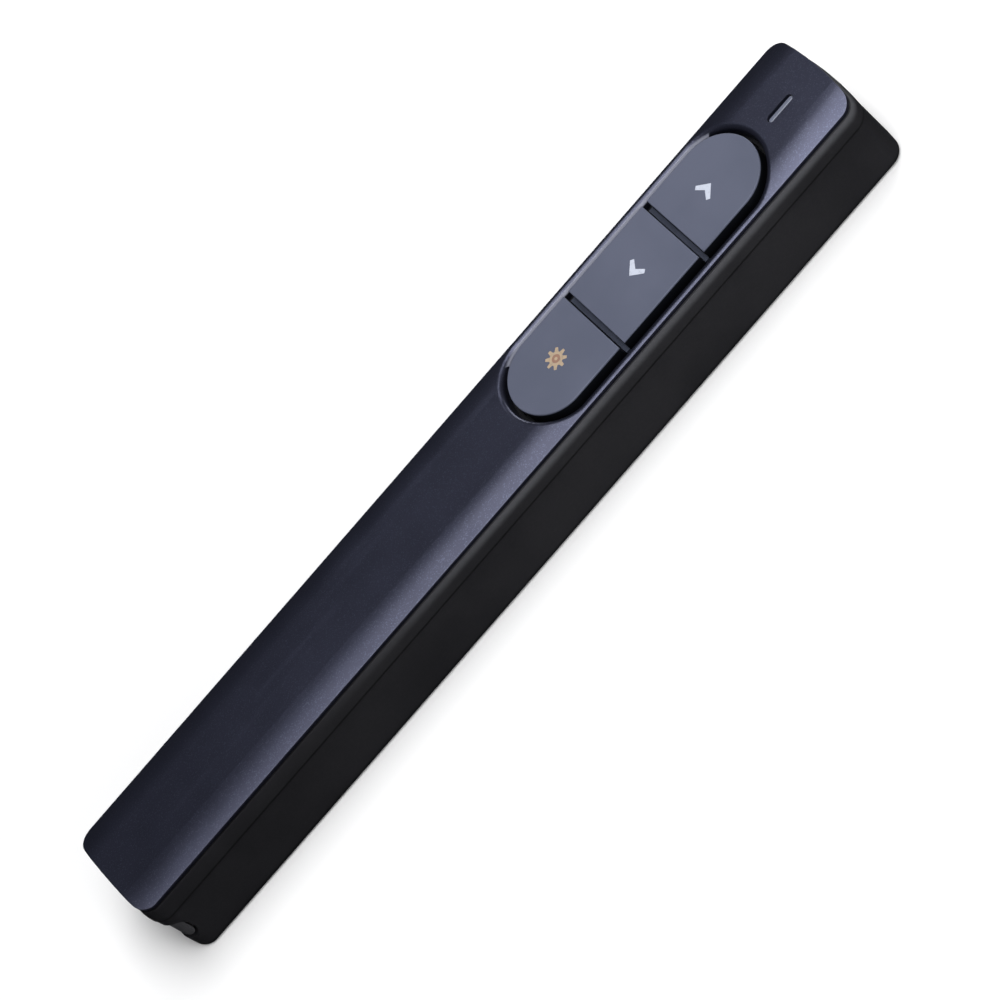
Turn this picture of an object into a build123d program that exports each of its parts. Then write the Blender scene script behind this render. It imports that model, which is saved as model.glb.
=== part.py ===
# Slim wireless presentation clicker: a crowned cover over a deep casing, three keys in a
# stadium pocket, a laser in the nose, one AAA cell and a receiver stored in the tail.
# Millimetres. X runs along the body towards the nose, Y across it, Z up from the underside.
# The origin is the middle of the underside.
import os
from math import asin, atan2, degrees, radians, sqrt, tan

from build123d import *

# Body. Its length is the sum of what it holds, from the receiver to the nose.
parting_width = 17.2       # across the cover's edge
side_height = 14.5         # underside to the casing's upper edge
parting_gap = 0.75         # shadow gap between casing and cover
cover_edge = 0.3           # upright edge of the cover, above the gap
crown_rise = 0.9           # cover's edge up to its flat middle
crown_flat = 8.4           # width of the flat middle
tail_radius = 140.0        # bulge of the tail, seen from above
nose_radius = 48.0         # bulge of the nose
tail_corner = 2.4          # upright corners
nose_corner = 2.6
least_corner = 0.9         # upright corners deep inside
bottom_round = 0.8         # edge of the underside
side_draft = 1.0           # degrees, below the band
band_depth = 3.0           # rounded band under the casing's upper edge
band_flare = 0.36          # how far the band leans out, each side
band_step = 0.1            # step in below the band
band_sections = 4          # outlines that shape the band
band_curve = 2.5           # how late the band turns inwards
wall = 1.5                 # casing wall, at the band's foot
floor = 1.3                # casing floor in the nose half
lip = 0.35                 # casing's thin upper lip, outside the cover's skirt
skirt_clearance = 0.05     # skirt to lip, and frame to skirt
skirt_thickness = 0.8      # cover's skirt, inside the lip

# Keys
nose_to_keys = 13.4        # nose to the key cluster
cell_to_keys = 12.45       # front bulkhead to the key cluster
cluster_length = 47.1
groove_width = 0.95        # between two keys
groove_depth = 1.85        # key tops down to the web in the grooves
rim_width = 1.25           # cover between pocket and edge
rim_round = 0.8            # rounded rim of the pocket
moat_width = 0.78          # pocket wall to keys
pocket_wall = 0.7          # cover's wall round the pocket, down to the frame
key_recess = 0.05          # crown down to the key tops
pocket_depth = 2.4         # key tops down to the frame
key_edge = 0.15            # bevel round a key's top
key_flange = 0.45          # how far a key's foot reaches out
flange_thickness = 0.5
flange_gap = 0.1           # foot to the underside of the frame
frame_clearance = 0.25     # key to frame
frame_thickness = 1.0
key_travel = 0.4
press_clearance = 0.2      # left below a pressed key's foot
key_boss = 0.2             # pad under a key that meets its switch
membrane_thickness = 0.6
membrane_clearance = 0.3   # membrane to the casing wall
web_clearance = 0.12       # web to the keys beside it

# Switches on the board
switch_size = 6.0
switch_height = 1.6
stem_radius = 1.5
stem_fit = 0.08            # radial, stem in its switch
stem_hole_gap = 0.5        # membrane hole round a stem
pad_clearance = 0.05       # under a fully pressed stem

# Circuit board
board_thickness = 1.0
board_clearance = 0.35     # board edge to the casing wall
board_end_gap = 2.2        # nose wall to the board
board_tail_gap = 1.2       # bulkhead to the board
boss_radius = 1.8
screw_radius = 0.85
screw_length = 5.0
screw_head_radius = 1.6
screw_head_height = 1.1
screw_fit = 0.03           # screw thread in its boss
board_hole_radius = 1.05
drive_width = 0.5          # slots of the cross recess in a screw head
drive_depth = 0.45
drive_length = 1.9
first_screw = 3.2          # board's tail end to the first screw
last_screw_gap = 0.15      # second screw's boss to the laser's leads
chip_size = 5.0
chip_height = 0.85
chip_edge = 0.14           # bevel round the chip's top
crystal_length = 3.2
crystal_width = 2.5
crystal_height = 0.7
capacitor_length = 2.0
capacitor_width = 1.25
capacitor_height = 1.0
part_offset = 2.9          # crystal and capacitor, off the centre line

# Status light
nose_to_light = 7.5        # nose to the middle of the light slot
light_shift = -0.45        # slot off the centre line
light_length = 4.7
light_width = 1.3
light_clearance = 0.05
light_flange = 0.8         # shoulder under the cover, each side
light_flange_height = 0.8
led_length = 1.6
led_width = 1.2
led_height = 0.8
led_gap = 0.25             # lamp to the light pipe's foot

# Laser
barrel_radius = 3.0
barrel_bore = 2.2
barrel_length = 9.6
barrel_gap = 0.35          # barrel to the nose wall
barrel_board_gap = 0.2     # barrel to the board above it
barrel_fit = 0.05          # barrel in its saddles
barrel_mouth = 1.3         # front aperture
barrel_front = 0.8         # thickness of the front plate
barrel_edge = 0.2          # bevel round the mouth and the front
lens_thickness = 1.5
lens_clearance = 0.03
diode_base = 1.0           # thickness of the diode's base disc
diode_can_radius = 1.6
diode_can_length = 2.4
saddle_thickness = 1.2
saddle_width = 8.4
saddle_inset = 2.4         # barrel's end to the middle of a saddle
window_radius = 2.7
window_thickness = 0.8
window_sink = 0.1          # window below the nose face
window_clearance = 0.04
window_edge = 0.13
laser_hole_radius = 1.9
wire_radius = 0.3
wire_bend = 0.9
wire_reach = 1.5           # bare run behind the diode
lead_spacing = 1.5

# Cell compartment
cell_length = 44.5         # AAA, over its button
cell_radius = 5.25
button_radius = 1.9
button_height = 0.8
sleeve_thickness = 0.12
sleeve_short = 0.5         # can's ends to the sleeve
can_round = 0.4
cell_gap = 0.45            # cell to the door's inner face
cell_side_gap = 0.15       # cell to the ribs
spring_length = 3.4        # pressed coil
spring_turns = 3
spring_wire = 0.25         # radius of the wire
spring_wide = 2.9          # radius of the coil on its plate
spring_narrow = 1.7        # radius of the coil at the cell
spring_gap = 0.05          # coil to the cell
contact_thickness = 0.3
contact_width = 8.0
contact_height = 7.0
bulkhead = 1.5
rib_thickness = 1.2
rib_count = 3              # cross ribs of the casing, beside the cell
lead_radius = 0.45         # long lead, in its jacket
lead_clearance = 0.15      # leads to the casing's wall
lead_landing = 3.0         # leads under the board
lead_board_gap = 0.25
tab_height = 1.4           # contact tab that a lead meets

# Cell door
door_thickness = 1.2
door_overlap = 0.7         # door past the opening, each side
door_play = 0.1            # all round the sliding door
door_roof = 1.05           # casing floor above the door
door_past_bulkhead = 1.6   # door beyond the front bulkhead
tongue_reach = 0.55        # side tongues
tongue_thickness = 0.5
tongue_height = 0.45       # underside to a tongue
tongue_start = 2.2         # tail to the tongues
grip_count = 4
grip_pitch = 1.8
grip_width = 0.7
grip_depth = 0.3
grip_length = 7.0
grip_start = 4.0           # tail end of the door to the first groove
opening_margin = 0.35      # opening past the cell, each side

# Receiver and its bay
bay_floor = 2.3            # casing between the door and the bay
receiver_thickness = 6.0
receiver_grip = 8.0        # length of the plastic end
receiver_edge = 0.6        # rounding of the plastic end
bay_clearance = 0.2        # receiver to its bay
bay_roof = 1.2
receiver_sink = 0.15       # receiver below the tail face
plug_length = 12.2
plug_width = 12.0
plug_height = 4.5
plug_sheet = 0.3
plug_window = 2.4          # square holes in the plug's shell
plug_window_pitch = 5.6
plug_window_back = 4.6     # tip to the holes
insert_gap = 0.2           # plastic tongue to the plug's shell, each side
insert_thickness = 1.9
insert_short = 0.6         # plug tip to the tongue
pin_count = 4
pin_pitch = 2.5
pin_width = 1.2
pin_length = 7.5
pin_thickness = 0.15
notch_length = 2.6         # finger notch, from the tail face
notch_height = 5.6
notch_round = 1.9
ear_sink = 0.45            # receiver's ear below the side
ear_gap = 0.4              # ear to the notch

# Power switch, in the +Y side
knob_length = 4.0
knob_height = 1.8
knob_travel = 2.0
knob_clearance = 0.2
knob_sink = 0.05           # knob below the side
recess_margin = 0.8        # finger recess round the window
recess_depth = 0.6
power_length = 6.8
power_depth = 2.7
power_height = 1.4
power_from_board = 6.0     # board's tail end to the switch's middle
knob_gap = 0.1             # switch body to knob
knob_ridges = 3
ridge_pitch = 1.1
ridge_depth = 0.25
ridge_width = 0.4

# Heights that follow from the sizes above
band_foot = side_height - band_depth
cover_foot = side_height + parting_gap
cover_rim = cover_foot + cover_edge
crown_top = cover_rim + crown_rise
key_top = crown_top - key_recess
web_top = key_top - groove_depth
frame_top = key_top - pocket_depth
ledge = frame_top - frame_thickness
flange_top = ledge - flange_gap
flange_foot = flange_top - flange_thickness
membrane_top = flange_foot - key_travel - press_clearance
membrane_foot = membrane_top - membrane_thickness
board_top = membrane_foot - switch_height
board_foot = board_top - board_thickness
stem_top = flange_foot - key_boss
laser_height = board_foot - barrel_board_gap - barrel_radius
door_ceiling = door_thickness + door_play
tail_floor = door_ceiling + door_roof
cell_height = door_thickness + cell_gap + cell_radius
bay_height = door_ceiling + bay_floor + bay_clearance + receiver_thickness / 2
lead_height = board_foot - lead_board_gap - lead_radius

# Widths
band_width = parting_width + 2 * band_flare
side_width = band_width - 2 * band_step
draft_inset = band_foot * tan(radians(side_draft))
cavity_width = side_width - 2 * wall
pocket_width = parting_width - 2 * rim_width
key_width = pocket_width - 2 * moat_width
frame_margin = moat_width + pocket_wall
frame_room = cluster_length + 2 * (frame_margin + skirt_clearance)
board_width = cavity_width - 2 * board_clearance
membrane_width = cavity_width - 2 * membrane_clearance
receiver_width = cavity_width - 2 * bay_clearance
cell_opening = 2 * (cell_radius + opening_margin)
door_width = cell_opening + 2 * door_overlap
insert_width = plug_width - 2 * (plug_sheet + insert_gap)

# Lengths
bay_length = receiver_sink + receiver_grip + plug_length + bay_clearance
cell_bay_length = spring_length + cell_length + 2 * contact_thickness + 2 * bulkhead
body_length = bay_length + cell_bay_length + cell_to_keys + cluster_length + nose_to_keys

# Places along the body
nose = body_length / 2
tail = -body_length / 2
past_tail = tail - wall
inner_nose = nose - wall
key_length = (cluster_length - 2 * groove_width) / 3
key_pitch = key_length + groove_width
cluster_middle = nose - nose_to_keys - cluster_length / 2
key_middles = [cluster_middle - key_pitch, cluster_middle, cluster_middle + key_pitch]
light_middle = nose - nose_to_light
receiver_end = tail + receiver_sink
plug_start = receiver_end + receiver_grip
plug_tip = plug_start + plug_length
bay_end = plug_tip + bay_clearance
rear_contact = bay_end + bulkhead
cell_rear = rear_contact + contact_thickness + spring_length
cell_front = cell_rear + cell_length
cell_middle = (cell_rear + cell_front) / 2
front_bulkhead = cell_front + contact_thickness
board_start = front_bulkhead + bulkhead + board_tail_gap
board_end = inner_nose - board_end_gap
door_front = front_bulkhead + bulkhead + door_past_bulkhead
barrel_nose = inner_nose - barrel_gap
barrel_tail = barrel_nose - barrel_length
leads_tail = barrel_tail - wire_reach - wire_radius
screw_places = [board_start + first_screw, leads_tail - last_screw_gap - boss_radius]
power_middle = board_start + power_from_board
power_height_middle = board_top + power_height / 2
power_side = board_width / 2
lead_side = cavity_width / 2 - lead_clearance - lead_radius
side_at_knob = side_width / 2 - (band_foot - power_height_middle) * tan(radians(side_draft))
side_at_bay = side_width / 2 - (band_foot - bay_height) * tan(radians(side_draft))


# The body seen from above, drawn this far inside the cover's edge: straight sides, bulging
# ends and rounded corners
def plan(inset):
    half_width = parting_width / 2 - inset
    half_length = body_length / 2 - inset
    tail_bulge = tail_radius - inset
    nose_bulge = nose_radius - inset
    tail_end = tail_bulge - half_length - sqrt(tail_bulge**2 - half_width**2)
    nose_end = half_length - nose_bulge + sqrt(nose_bulge**2 - half_width**2)
    with BuildSketch() as outline:
        with BuildLine():
            ThreePointArc((nose_end, -half_width), (half_length, 0), (nose_end, half_width))
            Line((nose_end, half_width), (tail_end, half_width))
            ThreePointArc((tail_end, half_width), (-half_length, 0), (tail_end, -half_width))
            Line((tail_end, -half_width), (nose_end, -half_width))
        make_face()
        fillet(outline.vertices().group_by(Axis.X)[0], max(tail_corner - inset, least_corner))
        fillet(outline.vertices().group_by(Axis.X)[-1], max(nose_corner - inset, least_corner))
    return outline.sketch


# The key cluster's outline, grown all round by a margin
def stadium(margin):
    with BuildSketch() as outline:
        with Locations((cluster_middle, 0)):
            SlotOverall(cluster_length + 2 * margin, key_width + 2 * margin)
    return outline.sketch


# Lower casing: drafted sides, a rounded band under the parting gap, and everything
# moulded inside it
cavity_inset = (parting_width - cavity_width) / 2
foot_inset = draft_inset + band_step - band_flare
recess_front = door_front + door_play
recess_width = door_width + 2 * door_play

with BuildPart() as lower_casing:
    with BuildSketch(Plane.XY):
        add(plan(foot_inset))
    extrude(amount=band_foot, taper=-side_draft)
    fillet(lower_casing.edges().group_by(Axis.Z)[0], bottom_round)
    for section in range(band_sections):
        share = section / (band_sections - 1)
        with BuildSketch(Plane.XY.offset(band_foot + share * band_depth)):
            add(plan(band_flare * (share**band_curve - 1)))
    loft()
    # Cavity, with a ledge near the top for the cover's skirt and the key frame
    with BuildSketch(Plane.XY.offset(floor)):
        add(plan(cavity_inset))
    extrude(amount=side_height, mode=Mode.SUBTRACT)
    with BuildSketch(Plane.XY.offset(ledge)):
        add(plan(lip))
    extrude(amount=side_height, mode=Mode.SUBTRACT)
    # Raised floor over the sliding door, and the receiver's bay
    with BuildSketch(Plane.XY.offset(floor)):
        with Locations(((inner_nose * -1 + door_front + rib_thickness) / 2, 0)):
            Rectangle(door_front + rib_thickness + inner_nose, cavity_width)
    extrude(amount=tail_floor - floor)
    with BuildSketch(Plane.XY.offset(floor)):
        with Locations(((bay_end + bulkhead - inner_nose) / 2, 0)):
            Rectangle(bay_end + bulkhead + inner_nose, cavity_width)
    extrude(amount=bay_height + receiver_thickness / 2 + bay_clearance + bay_roof - floor)
    with BuildSketch(Plane.YZ.offset(bay_end)):
        with Locations((0, bay_height)):
            Rectangle(receiver_width + 2 * bay_clearance, receiver_thickness + 2 * bay_clearance)
    extrude(amount=-body_length / 2, mode=Mode.SUBTRACT)
    # Bulkheads at both ends of the cell
    for start in (rear_contact - bulkhead, front_bulkhead):
        with BuildSketch(Plane.XY.offset(floor)):
            with Locations((start + bulkhead / 2, 0)):
                Rectangle(bulkhead, cavity_width)
        extrude(amount=ledge - floor - frame_thickness)
    # Cross ribs that hold the cell from both sides
    with BuildSketch(Plane.XY.offset(floor)):
        with Locations((cell_middle, 0)):
            with GridLocations(cell_length / rib_count, 0, rib_count, 1):
                Rectangle(rib_thickness, cavity_width)
    extrude(amount=lead_height - lead_radius - floor)
    with BuildSketch(Plane.YZ.offset(rear_contact)):
        with Locations((0, cell_height)):
            Circle(cell_radius + cell_side_gap)
        with Locations((0, cell_height - cell_radius)):
            Rectangle(cell_opening, 2 * cell_radius)
    extrude(amount=front_bulkhead - rear_contact, mode=Mode.SUBTRACT)
    # Notches for the two leads; the long one lies on the ribs beside the cell
    with BuildSketch(Plane.XY.offset(lead_height - lead_radius)):
        with Locations((front_bulkhead + bulkhead / 2, 0)):
            with GridLocations(0, 2 * lead_side, 1, 2):
                Rectangle(2 * bulkhead, 2 * (lead_radius + lead_clearance))
    extrude(amount=ledge, mode=Mode.SUBTRACT)
    # Recess for the door, open at the tail, with a groove for its tongues on each side
    with BuildSketch(Plane.XY):
        with Locations(((recess_front + past_tail) / 2, 0)):
            Rectangle(recess_front - past_tail, recess_width)
    extrude(amount=door_ceiling, mode=Mode.SUBTRACT)
    with BuildSketch(Plane.XY.offset(tongue_height - door_play)):
        with Locations(((recess_front + past_tail) / 2, 0)):
            Rectangle(recess_front - past_tail, recess_width + 2 * tongue_reach)
    extrude(amount=tongue_thickness + 2 * door_play, mode=Mode.SUBTRACT)
    # Finger notches on both sides of the bay
    with BuildSketch(Plane.XZ):
        with Locations((tail, bay_height)):
            notch = RectangleRounded(2 * notch_length, notch_height, notch_round)
    extrude(amount=parting_width, both=True, mode=Mode.SUBTRACT)
    # Bosses under the board
    with BuildSketch(Plane.XY.offset(floor)):
        with Locations(*[(place, 0) for place in screw_places]):
            Circle(boss_radius)
    extrude(amount=board_foot - floor)
    with BuildSketch(Plane.XY.offset(board_foot)):
        with Locations(*[(place, 0) for place in screw_places]):
            Circle(screw_radius + screw_fit)
    extrude(amount=-(screw_length - board_thickness + screw_fit), mode=Mode.SUBTRACT)
    # Saddles under the laser's barrel
    for place in (barrel_tail + saddle_inset, barrel_nose - saddle_inset):
        with BuildSketch(Plane.XY.offset(floor)):
            with Locations((place, 0)):
                Rectangle(saddle_thickness, saddle_width)
        extrude(amount=laser_height - floor)
    with BuildSketch(Plane.YZ.offset(barrel_tail)):
        with Locations((0, laser_height)):
            Circle(barrel_radius + barrel_fit)
    extrude(amount=barrel_length, mode=Mode.SUBTRACT)
    # Laser's way out through the nose, with a seat for the window
    with BuildSketch(Plane.YZ.offset(inner_nose - barrel_gap)):
        with Locations((0, laser_height)):
            Circle(laser_hole_radius)
    extrude(amount=wall + 2 * barrel_gap, mode=Mode.SUBTRACT)
    with BuildSketch(Plane.YZ.offset(nose - window_sink - window_thickness)):
        with Locations((0, laser_height)):
            Circle(window_radius + window_clearance)
    extrude(amount=wall, mode=Mode.SUBTRACT)
    # Power switch: finger recess and window in the +Y side
    window_middle = power_middle + knob_travel / 2
    window_length = knob_length + knob_travel + 2 * knob_clearance
    window_height = knob_height + 2 * knob_clearance
    with BuildSketch(Plane.XZ.offset(-side_at_knob + recess_depth)):
        with Locations((window_middle, power_height_middle)):
            RectangleRounded(
                window_length + 2 * recess_margin,
                window_height + 2 * recess_margin,
                window_height / 2,
            )
    extrude(amount=-wall, mode=Mode.SUBTRACT)
    with BuildSketch(Plane.XZ.offset(-cavity_width / 2 + knob_clearance)):
        with Locations((window_middle, power_height_middle)):
            Rectangle(window_length, window_height)
    extrude(amount=-2 * wall, mode=Mode.SUBTRACT)
lower_casing.part.label = "lower_casing"

# Cover: crowned across, with a skirt inside the casing's lip, the key pocket and the
# slot for the light
crown_half = crown_flat / 2
crown_reach = parting_width / 2 - crown_half
crown_radius = (crown_reach**2 + crown_rise**2) / (2 * crown_rise)
crown_turn = degrees(asin((crown_reach + rim_width / 2) / crown_radius))

with BuildPart() as top_cover:
    with BuildSketch(Plane.XY.offset(cover_foot)):
        add(plan(0))
    extrude(amount=cover_edge + crown_rise)
    with BuildSketch(Plane.YZ):
        with BuildLine():
            centre = crown_top - crown_radius
            left = CenterArc((-crown_half, centre), crown_radius, 90, crown_turn)
            right = CenterArc((crown_half, centre), crown_radius, 90 - crown_turn, crown_turn)
            Line(left @ 0, right @ 1)
            Polyline(left @ 1, ((left @ 1).X, 0), ((right @ 0).X, 0), right @ 0)
        make_face()
    extrude(amount=body_length, both=True, mode=Mode.INTERSECT)
    with BuildSketch(Plane.XY.offset(ledge)):
        add(plan(lip + skirt_clearance))
        add(plan(lip + skirt_clearance + skirt_thickness), mode=Mode.SUBTRACT)
    extrude(amount=cover_foot - ledge)
    # Key pocket: a wall that holds the key frame down, and a rounded rim
    with BuildSketch(Plane.XY.offset(ledge)):
        add(stadium(frame_margin))
    extrude(amount=cover_foot - ledge)
    with BuildSketch(Plane.XY.offset(ledge)):
        with Locations((cluster_middle, 0)):
            Rectangle(frame_room, parting_width)
    extrude(amount=frame_thickness, mode=Mode.SUBTRACT)
    with BuildSketch(Plane.XY.offset(ledge)):
        add(stadium(moat_width))
    extrude(amount=crown_top, mode=Mode.SUBTRACT)
    raised = top_cover.edges().filter_by_position(Axis.Z, cover_rim, crown_top + crown_rise)
    reach = frame_room / 2
    fillet(
        raised.filter_by_position(Axis.X, cluster_middle - reach, cluster_middle + reach),
        rim_round,
    )
    # Slot for the light, with a seat under it
    with BuildSketch(Plane.XY.offset(cover_foot)):
        with Locations((light_middle, light_shift)):
            SlotOverall(light_length, light_width)
    extrude(amount=crown_top, mode=Mode.SUBTRACT)
    # Ribs that hold the cell down
    with BuildSketch(Plane.XY.offset(cell_height)):
        with Locations((cell_middle, 0)):
            with GridLocations(cell_length / rib_count, 0, rib_count - 1, 1):
                Rectangle(rib_thickness, 2 * cell_radius)
    extrude(amount=cover_foot - cell_height)
    with BuildSketch(Plane.YZ.offset(rear_contact)):
        with Locations((0, cell_height)):
            Circle(cell_radius + cell_side_gap)
        with Locations((0, cell_height - cell_radius)):
            Rectangle(4 * cell_radius, 2 * cell_radius)
    extrude(amount=front_bulkhead - rear_contact, mode=Mode.SUBTRACT)
top_cover.part.label = "top_cover"

# Key frame: the dark plate at the bottom of the moat, between the casing's ledge and the
# cover's pocket wall
with BuildPart() as key_frame:
    with BuildSketch(Plane.XY.offset(ledge)):
        add(stadium(frame_margin))
        add(stadium(frame_clearance), mode=Mode.SUBTRACT)
    extrude(amount=frame_thickness)
key_frame.part.label = "key_frame"

# Rubber membrane on the switches, with a web that stands in each groove
with BuildPart() as keypad_membrane:
    with BuildSketch(Plane.XY.offset(membrane_foot)):
        add(stadium((membrane_width - key_width) / 2))
        with Locations(*[(middle, 0) for middle in key_middles]):
            Circle(stem_radius + stem_hole_gap, mode=Mode.SUBTRACT)
    extrude(amount=membrane_thickness)
    with BuildSketch(Plane.XY.offset(membrane_top)):
        with Locations((cluster_middle - key_pitch / 2, 0), (cluster_middle + key_pitch / 2, 0)):
            Rectangle(groove_width - 2 * web_clearance, key_width)
    extrude(amount=web_top - membrane_top)
keypad_membrane.part.label = "keypad_membrane"


# One key: its share of the stadium, a foot that the frame holds down, and a pad below
def build_key(middle):
    with BuildPart() as key:
        with BuildSketch(Plane.XY.offset(flange_top)):
            add(stadium(0))
            with Locations((middle, 0)):
                Rectangle(key_length, key_width, mode=Mode.INTERSECT)
        extrude(amount=key_top - flange_top)
        chamfer(key.faces().sort_by(Axis.Z)[-1].edges(), key_edge)
        with BuildSketch(Plane.XY.offset(flange_foot)):
            add(stadium(key_flange))
            with Locations((middle, 0)):
                foot_length = key_length if middle == cluster_middle else key_length + 2 * key_flange
                foot_shift = (foot_length - key_length) / 2
                direction = (middle > cluster_middle) - (middle < cluster_middle)
                with Locations((direction * foot_shift, 0)):
                    Rectangle(foot_length, key_width + 2 * key_flange, mode=Mode.INTERSECT)
        extrude(amount=flange_thickness)
        with BuildSketch(Plane.XY.offset(stem_top)):
            with Locations((middle, 0)):
                Circle(stem_radius)
        extrude(amount=key_boss)
    return key.part


laser_key = build_key(key_middles[0])
laser_key.label = "laser_key"
page_down_key = build_key(key_middles[1])
page_down_key.label = "page_down_key"
page_up_key = build_key(key_middles[2])
page_up_key.label = "page_up_key"

# Push switches: a square can on the board and a round stem that slides in it
stem_foot = board_top + pad_clearance + key_travel


def build_switch(middle):
    with BuildPart() as switch:
        with BuildSketch(Plane.XY.offset(board_top)):
            with Locations((middle, 0)):
                Rectangle(switch_size, switch_size)
        extrude(amount=switch_height)
        with BuildSketch(Plane.XY.offset(board_top)):
            with Locations((middle, 0)):
                Circle(stem_radius + stem_fit)
        extrude(amount=switch_height, mode=Mode.SUBTRACT)
    return switch.part


def build_stem(middle):
    with BuildPart() as stem:
        with BuildSketch(Plane.XY.offset(stem_foot)):
            with Locations((middle, 0)):
                Circle(stem_radius)
        extrude(amount=stem_top - stem_foot)
    return stem.part


laser_switch = build_switch(key_middles[0])
laser_switch.label = "laser_switch"
page_down_switch = build_switch(key_middles[1])
page_down_switch.label = "page_down_switch"
page_up_switch = build_switch(key_middles[2])
page_up_switch.label = "page_up_switch"
laser_stem = build_stem(key_middles[0])
laser_stem.label = "laser_stem"
page_down_stem = build_stem(key_middles[1])
page_down_stem.label = "page_down_stem"
page_up_stem = build_stem(key_middles[2])
page_up_stem.label = "page_up_stem"

# Circuit board on the casing's bosses
with BuildPart() as circuit_board:
    with BuildSketch(Plane.XY.offset(board_foot)):
        with Locations(((board_start + board_end) / 2, 0)):
            RectangleRounded(board_end - board_start, board_width, nose_corner / 2)
        with Locations(*[(place, 0) for place in screw_places]):
            Circle(board_hole_radius, mode=Mode.SUBTRACT)
    extrude(amount=board_thickness)
circuit_board.part.label = "circuit_board"

# Screws through the board
with BuildPart() as board_screws:
    with BuildSketch(Plane.XY.offset(board_top)):
        with Locations(*[(place, 0) for place in screw_places]):
            Circle(screw_head_radius)
    extrude(amount=screw_head_height)
    fillet(board_screws.edges().group_by(Axis.Z)[-1], screw_head_height / 3)
    with BuildSketch(Plane.XY.offset(board_top)):
        with Locations(*[(place, 0) for place in screw_places]):
            Circle(screw_radius)
    extrude(amount=-screw_length)
    with BuildSketch(Plane.XY.offset(board_top + screw_head_height - drive_depth)):
        with Locations(*[(place, 0) for place in screw_places]):
            Rectangle(drive_length, drive_width)
            Rectangle(drive_width, drive_length)
    extrude(amount=screw_head_height, mode=Mode.SUBTRACT)
board_screws.part.label = "board_screws"

# Controller chip, crystal and capacitor, between the switches
chip_place = (cluster_middle - key_pitch / 2, 0)
crystal_place = (cluster_middle + key_pitch / 2, part_offset)
capacitor_place = (cluster_middle + key_pitch / 2, -part_offset)

with BuildPart() as controller_chip:
    with BuildSketch(Plane.XY.offset(board_top)):
        with Locations(chip_place):
            Rectangle(chip_size, chip_size)
    extrude(amount=chip_height)
    chamfer(controller_chip.edges().group_by(Axis.Z)[-1], chip_edge)
controller_chip.part.label = "controller_chip"

with BuildPart() as crystal:
    with BuildSketch(Plane.XY.offset(board_top)):
        with Locations(crystal_place):
            RectangleRounded(crystal_length, crystal_width, crystal_width / 6)
    extrude(amount=crystal_height)
crystal.part.label = "crystal"

with BuildPart() as capacitor:
    with BuildSketch(Plane.XY.offset(board_top)):
        with Locations(capacitor_place):
            Rectangle(capacitor_length, capacitor_width)
    extrude(amount=capacitor_height)
capacitor.part.label = "capacitor"

# Status lamp on the board, and the clear pipe that carries its light to the slot
led_top = board_top + led_height
pipe_foot = led_top + led_gap
pipe_shoulder = cover_foot - light_flange_height

with BuildPart() as status_led:
    with BuildSketch(Plane.XY.offset(board_top)):
        with Locations((light_middle, light_shift)):
            Rectangle(led_length, led_width)
    extrude(amount=led_height)
status_led.part.label = "status_led"

with BuildPart() as light_pipe:
    with BuildSketch(Plane.XY.offset(pipe_foot)):
        with Locations((light_middle, light_shift)):
            SlotOverall(light_length - 2 * light_clearance, light_width - 2 * light_clearance)
    extrude(amount=crown_top - pipe_foot)
    with BuildSketch(Plane.XY.offset(pipe_shoulder)):
        with Locations((light_middle, light_shift)):
            SlotOverall(light_length + 2 * light_flange, light_width + 2 * light_flange)
    extrude(amount=light_flange_height)
light_pipe.part.label = "light_pipe"

# Laser: brass barrel, lens behind its mouth, diode in its tail
barrel_plane = Plane.YZ.offset(barrel_tail)
lens_back = barrel_length - barrel_front - lens_thickness

with BuildPart() as laser_barrel:
    with BuildSketch(barrel_plane):
        with Locations((0, laser_height)):
            Circle(barrel_radius)
            Circle(barrel_bore, mode=Mode.SUBTRACT)
    extrude(amount=barrel_length - barrel_front)
    with BuildSketch(Plane.YZ.offset(barrel_nose - barrel_front)):
        with Locations((0, laser_height)):
            Circle(barrel_radius)
            Circle(barrel_mouth, mode=Mode.SUBTRACT)
    extrude(amount=barrel_front)
    chamfer(laser_barrel.edges().group_by(Axis.X)[-1], barrel_edge)
laser_barrel.part.label = "laser_barrel"

with BuildPart() as laser_lens:
    with BuildSketch(Plane.YZ.offset(barrel_tail + lens_back)):
        with Locations((0, laser_height)):
            Circle(barrel_bore - lens_clearance)
    extrude(amount=lens_thickness)
    fillet(laser_lens.edges().group_by(Axis.X)[0], lens_thickness / 2)
laser_lens.part.label = "laser_lens"

with BuildPart() as laser_diode:
    with BuildSketch(barrel_plane):
        with Locations((0, laser_height)):
            Circle(barrel_bore - lens_clearance)
    extrude(amount=diode_base)
    with BuildSketch(Plane.YZ.offset(barrel_tail + diode_base)):
        with Locations((0, laser_height)):
            Circle(diode_can_radius)
    extrude(amount=diode_can_length)
laser_diode.part.label = "laser_diode"

# Two leads from the diode up to the board
with BuildPart() as laser_leads:
    for side in (-lead_spacing / 2, lead_spacing / 2):
        start = (barrel_tail, side, laser_height)
        corner = (barrel_tail - wire_reach, side, laser_height)
        finish = (barrel_tail - wire_reach, side, board_foot)
        with BuildLine():
            route = FilletPolyline(start, corner, finish, radius=wire_bend)
        with BuildSketch(Plane(origin=start, z_dir=(-1, 0, 0))):
            Circle(wire_radius)
        sweep(path=route.wire())
laser_leads.part.label = "laser_leads"

# Window that closes the laser's hole in the nose
with BuildPart() as nose_window:
    with BuildSketch(Plane.YZ.offset(nose - window_sink)):
        with Locations((0, laser_height)):
            Circle(window_radius)
    extrude(amount=-window_thickness)
    chamfer(nose_window.edges().group_by(Axis.X)[-1], window_edge)
nose_window.part.label = "nose_window"

# Cell: steel can with its button, and the printed sleeve round it
can_radius = cell_radius - sleeve_thickness
can_length = cell_length - button_height

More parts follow.
